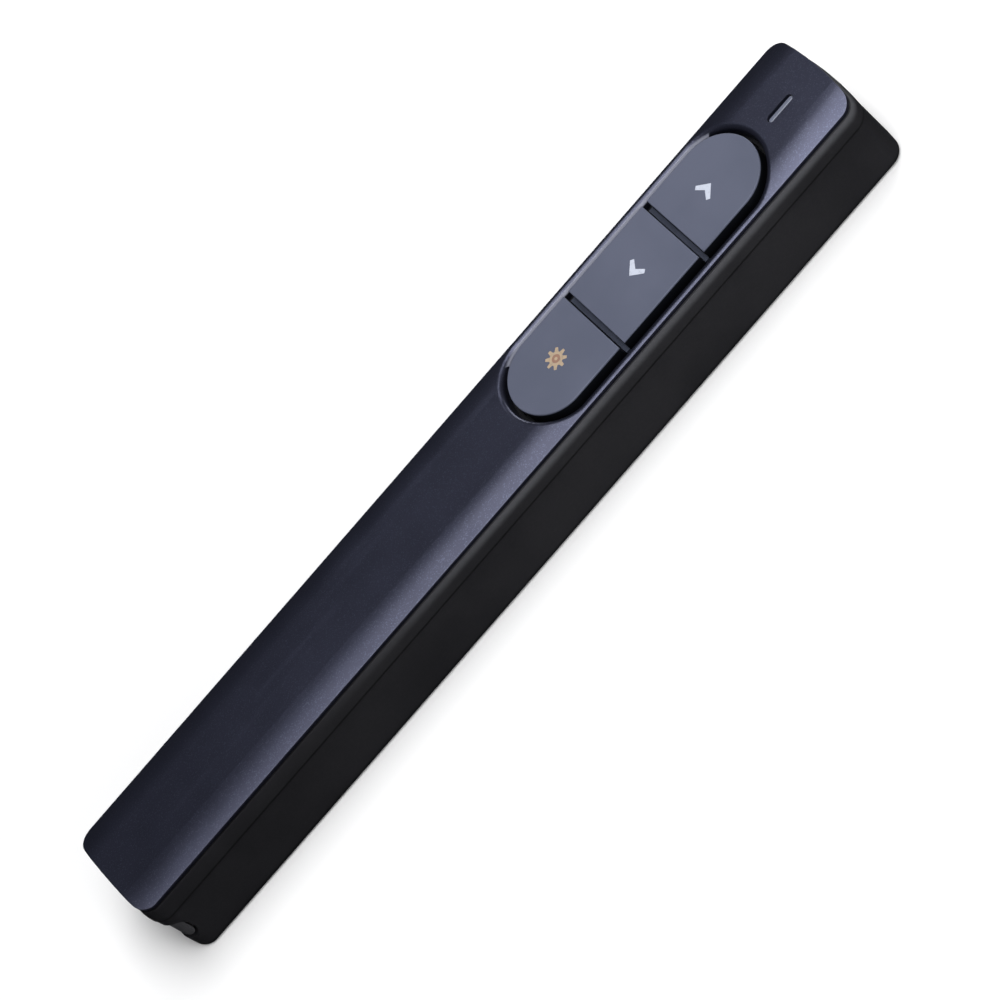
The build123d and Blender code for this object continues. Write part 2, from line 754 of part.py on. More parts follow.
with BuildPart() as cell_can:
    with BuildSketch(Plane.YZ.offset(cell_rear)):
        with Locations((0, cell_height)):
            Circle(can_radius)
    extrude(amount=can_length)
    fillet(cell_can.edges().filter_by(GeomType.CIRCLE), can_round)
    with BuildSketch(Plane.YZ.offset(cell_rear + can_length)):
        with Locations((0, cell_height)):
            Circle(button_radius)
    extrude(amount=button_height)
cell_can.part.label = "cell_can"

with BuildPart() as cell_sleeve:
    with BuildSketch(Plane.YZ.offset(cell_rear + sleeve_short)):
        with Locations((0, cell_height)):
            Circle(cell_radius)
            Circle(can_radius, mode=Mode.SUBTRACT)
    extrude(amount=can_length - 2 * sleeve_short)
cell_sleeve.part.label = "cell_sleeve"

# Contacts: a conical spring on its plate at the cell's rear, a plain plate at its button.
# Each has a tab beside the cell for its lead.
tab_reach = lead_side + lead_radius

with BuildPart() as spring_contact:
    with BuildSketch(Plane.YZ.offset(rear_contact)):
        with Locations((0, cell_height)):
            Rectangle(contact_width, contact_height)
        with Locations((tab_reach / 2, lead_height)):
            Rectangle(tab_reach, tab_height)
    extrude(amount=contact_thickness)
    coil_length = spring_length - spring_wire - spring_gap
    with BuildLine():
        coil = Helix(
            pitch=coil_length / spring_turns,
            height=coil_length,
            radius=spring_wide,
            center=(rear_contact + contact_thickness, 0, cell_height),
            direction=(1, 0, 0),
            cone_angle=degrees(atan2(spring_narrow - spring_wide, coil_length)),
        )
    with BuildSketch(Plane(origin=coil @ 0, z_dir=coil % 0)):
        Circle(spring_wire)
    sweep(path=coil, is_frenet=True)
spring_contact.part.label = "spring_contact"

with BuildPart() as button_contact:
    with BuildSketch(Plane.YZ.offset(cell_front)):
        with Locations((0, cell_height)):
            Rectangle(contact_width, contact_height)
        with Locations((-tab_reach / 2, lead_height)):
            Rectangle(tab_reach, tab_height)
    extrude(amount=contact_thickness)
button_contact.part.label = "button_contact"

# A lead from each contact's tab to the underside of the board: a long one past the cell
# and a short one
with BuildPart() as cell_leads:
    for side, start in ((lead_side, rear_contact + contact_thickness), (-lead_side, front_bulkhead)):
        with BuildSketch(Plane.YZ.offset(start)):
            with Locations((side, lead_height)):
                Circle(lead_radius)
        extrude(amount=board_start + lead_landing - start)
cell_leads.part.label = "cell_leads"

# Sliding door over the cell, with tongues that run in the casing's grooves
with BuildPart() as cell_door:
    with BuildSketch(Plane.XY):
        with Locations(((door_front + past_tail) / 2, 0)):
            Rectangle(door_front - past_tail, door_width)
        add(plan(foot_inset), mode=Mode.INTERSECT)
    extrude(amount=door_thickness)
    tail_edges = cell_door.faces().sort_by(Axis.X)[0].edges()
    fillet(tail_edges.sort_by(Axis.Z)[0], bottom_round)
    with BuildSketch(Plane.XY.offset(tongue_height)):
        with Locations(((door_front + tail + tongue_start) / 2, 0)):
            Rectangle(door_front - tail - tongue_start, door_width + 2 * tongue_reach)
    extrude(amount=tongue_thickness)
    with BuildSketch(Plane.XY):
        with Locations((tail + grip_start + grip_pitch * (grip_count - 1) / 2, 0)):
            with GridLocations(grip_pitch, 0, grip_count, 1):
                SlotOverall(grip_length, grip_width, rotation=90)
    extrude(amount=grip_depth, mode=Mode.SUBTRACT)
cell_door.part.label = "cell_door"

# Receiver: plastic end with an ear in each finger notch
ear_reach = side_at_bay - ear_sink

with BuildPart() as receiver_body:
    with BuildSketch(Plane.YZ.offset(plug_start)):
        with Locations((0, bay_height)):
            RectangleRounded(receiver_width, receiver_thickness, receiver_edge)
    extrude(amount=-receiver_grip - bottom_round)
    with BuildSketch(Plane.XZ):
        with Locations((tail, bay_height)):
            RectangleRounded(
                2 * (notch_length - ear_gap),
                notch_height - 2 * ear_gap,
                notch_round - ear_gap,
            )
    extrude(amount=ear_reach, both=True)
    with BuildSketch(Plane.XY):
        add(plan(receiver_sink))
    extrude(amount=crown_top, mode=Mode.INTERSECT)
receiver_body.part.label = "receiver_body"

# Plug: folded steel shell with two latch windows on each broad side
with BuildPart() as plug_shell:
    with BuildSketch(Plane.YZ.offset(plug_start)):
        with Locations((0, bay_height)):
            Rectangle(plug_width, plug_height)
            Rectangle(plug_width - 2 * plug_sheet, plug_height - 2 * plug_sheet, mode=Mode.SUBTRACT)
    extrude(amount=plug_length)
    with BuildSketch(Plane.XY.offset(bay_height)):
        with Locations((plug_tip - plug_window_back, 0)):
            with GridLocations(0, plug_window_pitch, 1, 2):
                Rectangle(plug_window, plug_window)
    extrude(amount=plug_height, both=True, mode=Mode.SUBTRACT)
plug_shell.part.label = "plug_shell"

insert_top = bay_height + plug_height / 2 - plug_sheet

with BuildPart() as plug_insert:
    with BuildSketch(Plane.XY.offset(insert_top)):
        with Locations(((plug_start + plug_tip - insert_short) / 2, 0)):
            Rectangle(plug_length - insert_short, insert_width)
    extrude(amount=-insert_thickness)
plug_insert.part.label = "plug_insert"

with BuildPart() as plug_pins:
    with BuildSketch(Plane.XY.offset(insert_top - insert_thickness)):
        with Locations((plug_tip - 2 * insert_short - pin_length / 2, 0)):
            with GridLocations(0, pin_pitch, 1, pin_count):
                Rectangle(pin_length, pin_width)
    extrude(amount=-pin_thickness)
plug_pins.part.label = "plug_pins"

# Power switch on the board's +Y edge, and its knob in the casing's window
with BuildPart() as power_switch:
    with BuildSketch(Plane.XY.offset(board_top)):
        with Locations((window_middle, power_side - power_depth / 2)):
            Rectangle(power_length, power_depth)
    extrude(amount=power_height)
power_switch.part.label = "power_switch"

with BuildPart() as power_knob:
    with BuildSketch(Plane.XZ.offset(-power_side - knob_gap)):
        with Locations((power_middle, power_height_middle)):
            RectangleRounded(knob_length, knob_height, knob_clearance)
    extrude(amount=-(side_at_knob - knob_sink - power_side - knob_gap))
    with BuildSketch(Plane.XZ.offset(-side_at_knob + knob_sink)):
        with Locations((power_middle, power_height_middle)):
            with GridLocations(ridge_pitch, 0, knob_ridges, 1):
                Rectangle(ridge_width, 2 * knob_height)
    extrude(amount=ridge_depth, mode=Mode.SUBTRACT)
power_knob.part.label = "power_knob"

os.makedirs("parts", exist_ok=True)
pieces = [
    lower_casing.part,
    top_cover.part,
    key_frame.part,
    keypad_membrane.part,
    laser_key,
    page_down_key,
    page_up_key,
    laser_switch,
    page_down_switch,
    page_up_switch,
    laser_stem,
    page_down_stem,
    page_up_stem,
    circuit_board.part,
    board_screws.part,
    controller_chip.part,
    crystal.part,
    capacitor.part,
    status_led.part,
    light_pipe.part,
    laser_barrel.part,
    laser_lens.part,
    laser_diode.part,
    laser_leads.part,
    nose_window.part,
    cell_can.part,
    cell_sleeve.part,
    spring_contact.part,
    button_contact.part,
    cell_leads.part,
    cell_door.part,
    receiver_body.part,
    plug_shell.part,
    plug_insert.part,
    plug_pins.part,
    power_switch.part,
    power_knob.part,
]
for piece in pieces:
    export_step(piece, f"parts/{piece.label}.step")
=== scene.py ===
from math import pi, radians

import bmesh
import bpy
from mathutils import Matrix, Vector


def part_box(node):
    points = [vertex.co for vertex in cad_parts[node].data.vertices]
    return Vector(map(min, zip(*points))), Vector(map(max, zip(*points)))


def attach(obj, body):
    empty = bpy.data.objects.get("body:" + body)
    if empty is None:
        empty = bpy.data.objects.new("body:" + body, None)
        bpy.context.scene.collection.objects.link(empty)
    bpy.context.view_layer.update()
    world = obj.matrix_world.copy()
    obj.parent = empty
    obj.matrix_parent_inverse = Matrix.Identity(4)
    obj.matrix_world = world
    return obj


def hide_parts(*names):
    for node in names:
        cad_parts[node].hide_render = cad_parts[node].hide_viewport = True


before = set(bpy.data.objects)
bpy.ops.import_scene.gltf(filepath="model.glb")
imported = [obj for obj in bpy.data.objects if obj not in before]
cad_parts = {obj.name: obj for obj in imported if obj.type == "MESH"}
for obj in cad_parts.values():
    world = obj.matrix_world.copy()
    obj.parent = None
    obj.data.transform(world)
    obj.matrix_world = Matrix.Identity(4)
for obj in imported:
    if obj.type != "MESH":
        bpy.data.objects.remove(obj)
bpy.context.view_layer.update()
scene = bpy.context.scene
mm = 0.001
print("frame loaded,", len(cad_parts), "nodes")

# Camera, in metres and degrees
deskCamera = {
    "place": (0.05249535, -0.44417933, 0.55499981),
    "turn": (25.52803, 30.77953, -40.29842),
    "lens": 188.105,
}
lens = bpy.data.cameras.new("deskCamera")
lens.sensor_width = 36
lens.lens = deskCamera["lens"]
lens.clip_start = 0.01
lensHolder = bpy.data.objects.new("deskCamera", lens)
lensHolder.location = deskCamera["place"]
lensHolder.rotation_euler = [radians(angle) for angle in deskCamera["turn"]]
scene.collection.objects.link(lensHolder)
scene.camera = lensHolder

# Soft boxes over a pale table
studio = {
    "sky": (0.30, 0.32, 0.36),
    "skyStrength": 0.09,
    "boxes": {
        "overheadBox": {
            "place": (0.10, -0.025, 0.60), "aim": (0.03, 0, 0),
            "size": (0.64, 0.38), "power": 4.6,
        },
        "cameraBox": {
            "place": (-0.10, -0.75, 0.95), "aim": (0, 0, 0),
            "size": (1.6, 1.2), "power": 5.6,
        },
        "frontBox": {
            "place": (0.20, -0.27, 0.105), "aim": (0.09, 0, 0.03),
            "size": (0.44, 0.19), "power": 0.65,
        },
        "backBox": {
            "place": (0.42, 0.40, 0.12), "aim": (0, 0, 0.01),
            "size": (0.34, 0.16), "power": 1.2,
        },
    },
}
scene.view_settings.view_transform = "Standard"
world = bpy.data.worlds.new("studio")
world.use_nodes = True
background = world.node_tree.nodes["Background"].inputs
background["Color"].default_value = (*studio["sky"], 1)
background["Strength"].default_value = studio["skyStrength"]
scene.world = world
for boxName, box in studio["boxes"].items():
    light = bpy.data.lights.new(boxName, "AREA")
    light.shape = "RECTANGLE"
    light.size, light.size_y = box["size"]
    light.energy = box["power"]
    lightHolder = bpy.data.objects.new(boxName, light)
    lightHolder.location = box["place"]
    sight = Vector(box["aim"]) - Vector(box["place"])
    lightHolder.rotation_euler = sight.to_track_quat("-Z", "Y").to_euler()
    scene.collection.objects.link(lightHolder)
print("studio set")


class Wire:  # one socket, so that shader maths reads as sums
    def __init__(self, finish, socket):
        self.finish = finish
        self.socket = socket

    def maths(self, operation, first, second=0.0):
        return self.finish.add("ShaderNodeMath", {"operation": operation}, {0: first, 1: second})

    def __add__(self, other):
        return self.maths("ADD", self, other)

    def __radd__(self, other):
        return self.maths("ADD", other, self)

    def __sub__(self, other):
        return self.maths("SUBTRACT", self, other)

    def __rsub__(self, other):
        return self.maths("SUBTRACT", other, self)

    def __mul__(self, other):
        return self.maths("MULTIPLY", self, other)

    def __rmul__(self, other):
        return self.maths("MULTIPLY", other, self)

    def __mod__(self, other):
        return self.maths("FLOORED_MODULO", self, other)

    def __gt__(self, other):
        return self.maths("GREATER_THAN", self, other)

    def __abs__(self):
        return self.maths("ABSOLUTE", self)

    def ramp(self, low, high):  # 0 at low, 1 at high, smooth between
        return self.finish.add(
            "ShaderNodeMapRange",
            {"interpolation_type": "SMOOTHSTEP"},
            {"Value": self, "From Min": low, "From Max": high},
        )


class Finish:  # one material while its nodes are laid
    def __init__(self, name):
        self.material = bpy.data.materials.new(name)
        self.material.use_nodes = True
        self.material.node_tree.nodes.clear()
        self.place = self.add("ShaderNodeTexCoord", out="Object")

    def add(self, kind, settings={}, sockets={}, out=0):
        node = self.material.node_tree.nodes.new(kind)
        for key, value in settings.items():
            setattr(node, key, value)
        for key, value in sockets.items():
            if isinstance(value, Wire):
                self.material.node_tree.links.new(value.socket, node.inputs[key])
            else:
                node.inputs[key].default_value = value
        return Wire(self, node.outputs[out]) if len(node.outputs) else node

    def axes(self, vector):
        split = self.add("ShaderNodeSeparateXYZ", {}, {0: vector}).socket.node
        return [Wire(self, axis) for axis in split.outputs]

    def centred(self, middle, stretch=(1, 1, 1)):  # Object coordinates from a middle, stretched
        shift = [-place * share for place, share in zip(middle, stretch)]
        sockets = {"Vector": self.place, "Location": shift, "Scale": stretch}
        return self.add("ShaderNodeMapping", {}, sockets)

    def noise(self, scale, detail=2.0, place=None):
        sockets = {"Vector": place or self.place, "Scale": scale, "Detail": detail}
        return self.add("ShaderNodeTexNoise", {}, sockets)

    def cells(self, scale, place=None, out="Distance"):
        sockets = {"Vector": place or self.place, "Scale": scale}
        return self.add("ShaderNodeTexVoronoi", {}, sockets, out)

    def mix(self, share, first, second):
        return self.add("ShaderNodeMix", {"data_type": "RGBA"}, {0: share, 6: first, 7: second}, 2)

    def distance(self, vector):
        return self.add("ShaderNodeVectorMath", {"operation": "LENGTH"}, {0: vector}, "Value")

    def edges(self, radius):  # 1 along sharp edges, 0 on open faces
        rounded = self.add("ShaderNodeBevel", {"samples": 4}, {"Radius": radius})
        settings = {"operation": "DOT_PRODUCT"}
        along = self.add("ShaderNodeVectorMath", settings, {0: rounded, 1: self.normal()}, "Value")
        return (1 - along).ramp(0.01, 0.25)

    def normal(self):
        return self.add("ShaderNodeNewGeometry", out="Normal")

    def bump(self, height, depth, over=None):
        sockets = {"Height": height, "Distance": depth}
        if over:
            sockets["Normal"] = over
        return self.add("ShaderNodeBump", {}, sockets)

    def finished(self, sockets):
        shader = self.add("ShaderNodeBsdfPrincipled", {}, sockets)
        self.add("ShaderNodeOutputMaterial", {}, {"Surface": shader})
        print("finish", self.material.name)
        return self.material


def rgba(colour, gain=1.0):
    return (colour[0] * gain, colour[1] * gain, colour[2] * gain, 1)


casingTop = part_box("lower_casing")[1].z
bandDepth = 3.0 * mm  # casing's upper edge down to the crease


# The casing's painted light: painted shade in the seam at the crease, a painted highlight on the
# upper edge from the middle to the nose, and painted shade on the foot. A metallic share darkens
# the foot and the tail half, a painted shade too.
def casingLightAndShade(finish, look, colour, worn, specks):
    length, _, height = finish.axes(finish.place)
    # painted shade in the seam at the crease
    creaseShade = 1 - abs(height - look["seam"]).ramp(look["seamWidth"] * 0.3, look["seamWidth"])
    colour = finish.mix(creaseShade * look["seamShadeStrength"], colour, rgba(look["dark"], 0.2))
    # a painted highlight along the casing's upper edge, stronger from the middle to the nose
    upper = height.ramp(casingTop - look["highlightFoot"], casingTop - look["highlightFull"])
    highlightShare = upper * length.ramp(*look["highlightRun"])
    colour = finish.mix(highlightShare * (0.75 + (specks - 0.5) * 0.3), colour, rgba(look["highlightColour"]))
    # painted shade on the casing's foot
    foot = 1 - height.ramp(look["foot"] * 0.3, look["foot"])
    colour = finish.mix(foot * 0.8, colour, rgba(look["dark"], 0.3))
    # a metallic share as painted shade: a darker foot and a darker tail half
    metal = foot * 0.6 + (1 - length.ramp(*look["tailShadeRun"])) * 0.3
    return colour, worn * (1 - creaseShade), metal


# Moulded plastic: slow clouds of tone, a fine grain, edges rubbed paler and smoother
def mouldedFinish(name, look):
    finish = Finish(name)
    clouds = finish.noise(look["cloud"], 3)
    grain = finish.cells(look["grain"])
    specks = finish.noise(look["grain"] * 0.4, 4)
    worn = finish.edges(look["edge"]) * specks.ramp(0.25, 0.7) * look["wear"]
    colour = finish.mix(clouds.ramp(0.3, 0.7), rgba(look["dark"]), rgba(look["pale"]))
    colour = finish.mix(specks.ramp(0.62, 0.8) * look["dust"], colour, rgba(look["rubbed"]))
    metal = 0.0
    if "seam" in look:
        colour, worn, metal = casingLightAndShade(finish, look, colour, worn, specks)
    colour = finish.mix(worn, colour, rgba(look["rubbed"]))
    return finish.finished({
        "Base Color": colour,
        "Roughness": look["rough"] + (clouds - 0.5) * 0.12 + (specks - 0.5) * 0.16 - worn * 0.3,
        "Metallic": metal,
        "Normal": finish.bump(grain, look["depth"]),
        "Specular IOR Level": look["shine"],
    })


# Metal: fine marks along one axis, soft stains, bright edges
def metalFinish(name, look):
    finish = Finish(name)
    marks = finish.noise(look["marks"], 3, finish.centred((0, 0, 0), look["along"]))
    stains = finish.noise(look["stains"], 4)
    worn = finish.edges(look["edge"])
    colour = finish.mix(stains.ramp(0.35, 0.75), rgba(look["bright"]), rgba(look["dull"]))
    colour = finish.mix(worn * 0.5, colour, rgba(look["bright"], 1.15))
    rough = look["rough"] + (marks - 0.5) * 0.25 + stains.ramp(0.4, 0.8) * 0.12 - worn * 0.1
    return finish.finished({
        "Base Color": colour,
        "Roughness": rough,
        "Metallic": 1.0,
        "Normal": finish.bump(marks, look["depth"]),
    })


plasticLook = {
    "dark": (0.0096, 0.0094, 0.0114), "pale": (0.0135, 0.0132, 0.0155),
    "rubbed": (0.05, 0.05, 0.054),
    "cloud": 60, "grain": 5200, "edge": 0.25 * mm, "wear": 0.3, "dust": 0.1,
    "rough": 0.56, "shine": 0.2, "depth": 0.004 * mm,
}
# The casing adds painted shade in the seam, on the foot and on the tail, and a painted highlight on
# the upper edge
casingLook = plasticLook | {
    "seam": casingTop - bandDepth, "seamWidth": 0.34 * mm, "seamShadeStrength": 0.85,
    "highlightColour": (0.062, 0.063, 0.070), "highlightFoot": 1.5 * mm, "highlightFull": 0.2 * mm,
    "highlightRun": (-45 * mm, 8 * mm), "tailShadeRun": (-60 * mm, 0), "foot": 1.3 * mm,
}
casingBlack = mouldedFinish("casingBlack", casingLook)
doorBlack = mouldedFinish("doorBlack", plasticLook)
# The key frame is blacker than the other plastic: painted shade in the moat round the keys.
frameShadeBlack = mouldedFinish("frameShadeBlack", plasticLook | {
    "dark": (0.0025, 0.0028, 0.004), "pale": (0.004, 0.0044, 0.006),
    "rubbed": (0.012, 0.013, 0.016), "wear": 0.05, "rough": 0.6, "shine": 0.15,
})
receiverBlack = mouldedFinish("receiverBlack", plasticLook | {
    "dark": (0.028, 0.028, 0.031), "pale": (0.04, 0.04, 0.044), "cloud": 300, "rough": 0.5,
})
switchBlack = mouldedFinish("switchBlack", plasticLook | {
    "dark": (0.012, 0.012, 0.013), "pale": (0.022, 0.022, 0.023),
    "cloud": 500, "rough": 0.42, "edge": 0.15 * mm,
})
stemWhite = mouldedFinish("stemWhite", plasticLook | {
    "dark": (0.62, 0.60, 0.55), "pale": (0.74, 0.73, 0.69), "rubbed": (0.85, 0.84, 0.8),
    "cloud": 700, "dust": 0.3,
})
rubberSlate = mouldedFinish("rubberSlate", plasticLook | {
    "dark": (0.022, 0.027, 0.044), "pale": (0.032, 0.038, 0.060), "rubbed": (0.05, 0.058, 0.08),
    "cloud": 400, "grain": 9000, "rough": 0.72, "depth": 0.008 * mm, "shine": 0.3,
})

steelLook = {
    "bright": (0.62, 0.62, 0.63), "dull": (0.42, 0.42, 0.43), "marks": 900, "along": (0.08, 1, 1),
    "stains": 260, "edge": 0.12 * mm, "rough": 0.28, "depth": 0.003 * mm,
}
platedSteel = metalFinish("platedSteel", steelLook)
screwSteel = metalFinish("screwSteel", steelLook | {
    "dull": (0.3, 0.3, 0.31), "marks": 2600, "rough": 0.33,
})
plugSteel = metalFinish("plugSteel", steelLook | {
    "bright": (0.72, 0.72, 0.73), "marks": 1400, "rough": 0.2,
})
cellSteel = metalFinish("cellSteel", steelLook | {
    "bright": (0.7, 0.7, 0.7), "stains": 120, "rough": 0.24,
})
brass = metalFinish("brass", steelLook | {
    "bright": (0.78, 0.56, 0.24), "dull": (0.5, 0.33, 0.12), "marks": 2200,
})
goldPins = metalFinish("goldPins", steelLook | {
    "bright": (0.95, 0.68, 0.28), "dull": (0.7, 0.45, 0.16), "rough": 0.22,
})

# Cover: satin graphite-blue paint with a fine flake, hair marks along it and rubbed edges. The
# upper part of the pocket's far wall gets a painted highlight: a paler, plain paint.
coverLook = {
    "deep": (0.028, 0.030, 0.050), "lift": (0.038, 0.041, 0.067),
    "flake": (0.10, 0.11, 0.16), "rubbed": (0.09, 0.095, 0.12),
    "cloud": 38, "flakes": 9000, "hairs": 700, "smudge": 120,
    "flakeDepth": 0.0008 * mm, "hairDepth": 0.0012 * mm, "edge": 0.3 * mm,
    "rough": 0.36, "metal": 0.8, "shine": 0.3, "coat": 0.2, "coatRough": 0.28,
    "wall": (0.29, 0.30, 0.37), "wallFrom": 6.5 * mm, "wallDepth": 1.5 * mm,
}
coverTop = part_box("top_cover")[1].z


def coverFinish(name, look):
    finish = Finish(name)
    clouds = finish.noise(look["cloud"], 3, finish.centred((0, 0, 0), (0.35, 1, 1)))
    flakes = finish.cells(look["flakes"], out="Color")
    flake = finish.axes(flakes)[0].ramp(0.80, 0.98)
    hairs = finish.noise(look["hairs"], 2, finish.centred((0, 0, 0), (0.05, 1, 1)))
    smudge = finish.noise(look["smudge"], 4)
    worn = finish.edges(look["edge"]) * smudge.ramp(0.3, 0.7)
    _, across, height = finish.axes(finish.place)
    # a painted highlight on the upper part of the pocket's far wall, without metal
    inward = (0 - finish.axes(finish.normal())[1]).ramp(0.42, 0.8)
    upper = height.ramp(coverTop - look["wallDepth"], coverTop - look["wallDepth"] * 0.8)
    wall = inward * (across > look["wallFrom"]) * upper
    colour = finish.mix(clouds.ramp(0.3, 0.7), rgba(look["deep"]), rgba(look["lift"]))
    colour = finish.mix(flake * 0.35, colour, rgba(look["flake"]))
    colour = finish.mix(worn * 0.3, colour, rgba(look["rubbed"]))
    colour = finish.mix(wall, colour, rgba(look["wall"]))
    rough = look["rough"] + (smudge - 0.5) * 0.14 + hairs.ramp(0.62, 0.8) * 0.06 - worn * 0.06
    return finish.finished({
        "Base Color": colour,
        "Roughness": rough,
        "Metallic": (look["metal"] + flake * 0.15) * (1 - wall),
        "Normal": finish.bump(hairs, look["hairDepth"], finish.bump(flakes, look["flakeDepth"])),
        "Specular IOR Level": look["shine"],
        "Coat Weight": look["coat"] - smudge.ramp(0.5, 0.8) * 0.08,
        "Coat Roughness": look["coatRough"],
    })


coverNavy = coverFinish("coverNavy", coverLook)

# Keys: slate paint on the top, darker along its edge in blotches, partly worn paint and partly
# painted shade, and bare black plastic below it
keyLook = {
    "deep": (0.080, 0.089, 0.127), "lift": (0.091, 0.100, 0.142),
    "side": (0.003, 0.0035, 0.005), "worn": (0.042, 0.047, 0.068),
    "cloud": 90, "grain": 7000, "touch": 260, "depth": 0.0022 * mm,
    "paintFoot": 0.34 * mm, "edge": 0.25 * mm,
    "rough": 0.46, "sideRough": 0.4, "shine": 0.16,
}
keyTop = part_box("page_down_key")[1].z


def keyFinish(name, look):
    finish = Finish(name)
    height = finish.axes(finish.place)[2]
    painted = height.ramp(keyTop - look["paintFoot"], keyTop - look["paintFoot"] * 0.6)
    clouds = finish.noise(look["cloud"], 3)
    grain = finish.cells(look["grain"])
    touch = finish.noise(look["touch"], 4)
    edge = finish.edges(look["edge"])
    colour = finish.mix(clouds.ramp(0.3, 0.7), rgba(look["deep"]), rgba(look["lift"]))
    # a darker edge in blotches: worn paint and painted shade
    colour = finish.mix(edge * touch.ramp(0.2, 0.5) * 0.6, colour, rgba(look["worn"]))
    colour = finish.mix(painted, rgba(look["side"]), colour)
    rough = look["sideRough"] + painted * (look["rough"] - look["sideRough"])
    return finish.finished({
        "Base Color": colour,
        "Roughness": rough + (touch - 0.5) * 0.12 + edge * 0.25,
        "Metallic": painted * 0.1,
        "Normal": finish.bump(grain, look["depth"]),
        "Specular IOR Level": look["shine"],
    })


keySlate = keyFinish("keySlate", keyLook)

# Circuit board: green mask over copper tracks, bare glass fibre at the cut edges
boardLook = {
    "mask": (0.010, 0.075, 0.028), "track": (0.022, 0.150, 0.055),
    "fibre": (0.42, 0.38, 0.20), "pad": (0.55, 0.56, 0.55),
    "lane": 1.27 * mm, "block": 160, "via": 420, "weave": 1800,
    "copperDepth": 0.02 * mm, "weaveDepth": 0.004 * mm,
}


def boardFinish(name, look):
    finish = Finish(name)
    x, y, _ = finish.axes(finish.place)
    patches = finish.cells(look["block"], finish.centred((0, 0, 0), (0.4, 1, 1)), "Color")
    blocks = finish.axes(patches)[0]
    lane = abs((y * (1 / look["lane"])) % 1.0 - 0.5)
    cross = abs((x * (0.5 / look["lane"])) % 1.0 - 0.5)
    track = (1 - lane.ramp(0.10, 0.14)) * (blocks > 0.45)
    bars = (1 - cross.ramp(0.05, 0.07)) * (blocks > 0.8)
    via = 1 - finish.cells(look["via"]).ramp(0.10, 0.14)
    weave = finish.noise(look["weave"], 2)
    facing = abs(finish.axes(finish.normal())[2])
    colour = finish.mix(track, rgba(look["mask"]), rgba(look["track"]))
    colour = finish.mix(bars, colour, rgba(look["track"]))
    colour = finish.mix(via * 0.8, colour, rgba(look["pad"]))
    colour = finish.mix(weave * 0.15, colour, rgba(look["mask"], 2.0))
    colour = finish.mix(facing.ramp(0.4, 0.6), rgba(look["fibre"]), colour)
    woven = finish.bump(weave, look["weaveDepth"])
    return finish.finished({
        "Base Color": colour,
        "Roughness": 0.32 + weave * 0.15 - via * 0.08,
        "Normal": finish.bump(track + via, look["copperDepth"], woven),
    })


boardGreen = boardFinish("boardGreen", boardLook)

# Chip: black epoxy with an orientation dot in one corner
chipLook = {
    "epoxy": (0.012, 0.012, 0.013), "dusty": (0.022, 0.022, 0.024), "dot": (0.09, 0.09, 0.095),
    "dotSize": 0.35 * mm, "dotInset": 0.9 * mm, "grain": 4200, "edge": 0.1 * mm, "depth": 0.006 * mm,
}


def chipFinish(name, look):
    low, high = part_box("controller_chip")
    finish = Finish(name)
    corner = (low.x + look["dotInset"], low.y + look["dotInset"], high.z)
    dot = 1 - finish.distance(finish.centred(corner)).ramp(look["dotSize"], look["dotSize"] * 1.15)
    grain = finish.noise(look["grain"], 4)
    worn = finish.edges(look["edge"])
    colour = finish.mix(grain, rgba(look["epoxy"]), rgba(look["dusty"]))
    colour = finish.mix(dot, colour, rgba(look["dot"]))
    colour = finish.mix(worn * 0.3, colour, rgba(look["dot"]))
    return finish.finished({
        "Base Color": colour,
        "Roughness": 0.55 + (grain - 0.5) * 0.25 - dot * 0.15,
        "Normal": finish.bump(grain, look["depth"]),
    })


chipBlack = chipFinish("chipBlack", chipLook)

# Capacitor: tan ceramic with tinned ends
ceramicLook = {
    "body": (0.34, 0.22, 0.12), "shade": (0.26, 0.165, 0.09), "metal": (0.62, 0.62, 0.6),
    "bare": 0.62, "grain": 3000, "depth": 0.005 * mm,
}


def ceramicFinish(name, look):
    low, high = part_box("capacitor")
    finish = Finish(name)
    along = abs(finish.axes(finish.centred((low + high) / 2))[0])
    ends = (along * (2 / (high.x - low.x))).ramp(look["bare"], look["bare"] + 0.04)
    grain = finish.noise(look["grain"], 4)
    colour = finish.mix(grain, rgba(look["body"]), rgba(look["shade"]))
    return finish.finished({
        "Base Color": finish.mix(ends, colour, rgba(look["metal"])),
        "Metallic": ends * 0.9,
        "Roughness": 0.42 + (grain - 0.5) * 0.2,
        "Normal": finish.bump(grain, look["depth"]),
    })


ceramicTan = ceramicFinish("ceramicTan", ceramicLook)

# Lamp: a white case with a yellow spot on top
ledLook = {
    "case": (0.72, 0.72, 0.70), "phosphor": (0.75, 0.62, 0.12),
    "spot": 0.4 * mm, "grain": 4000, "depth": 0.003 * mm,
}


def ledFinish(name, look):
    low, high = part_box("status_led")
    finish = Finish(name)
    middle = ((low.x + high.x) / 2, (low.y + high.y) / 2, high.z)
    spot = 1 - finish.distance(finish.centred(middle)).ramp(look["spot"], look["spot"] * 1.2)
    grain = finish.noise(look["grain"], 3)
    colour = finish.mix(grain * 0.3, rgba(look["case"]), rgba(look["case"], 0.8))
    return finish.finished({
        "Base Color": finish.mix(spot, colour, rgba(look["phosphor"])),
        "Roughness": 0.4 - spot * 0.2 + (grain - 0.5) * 0.1,
        "Normal": finish.bump(grain, look["depth"]),
    })


ledWhite = ledFinish("ledWhite", ledLook)

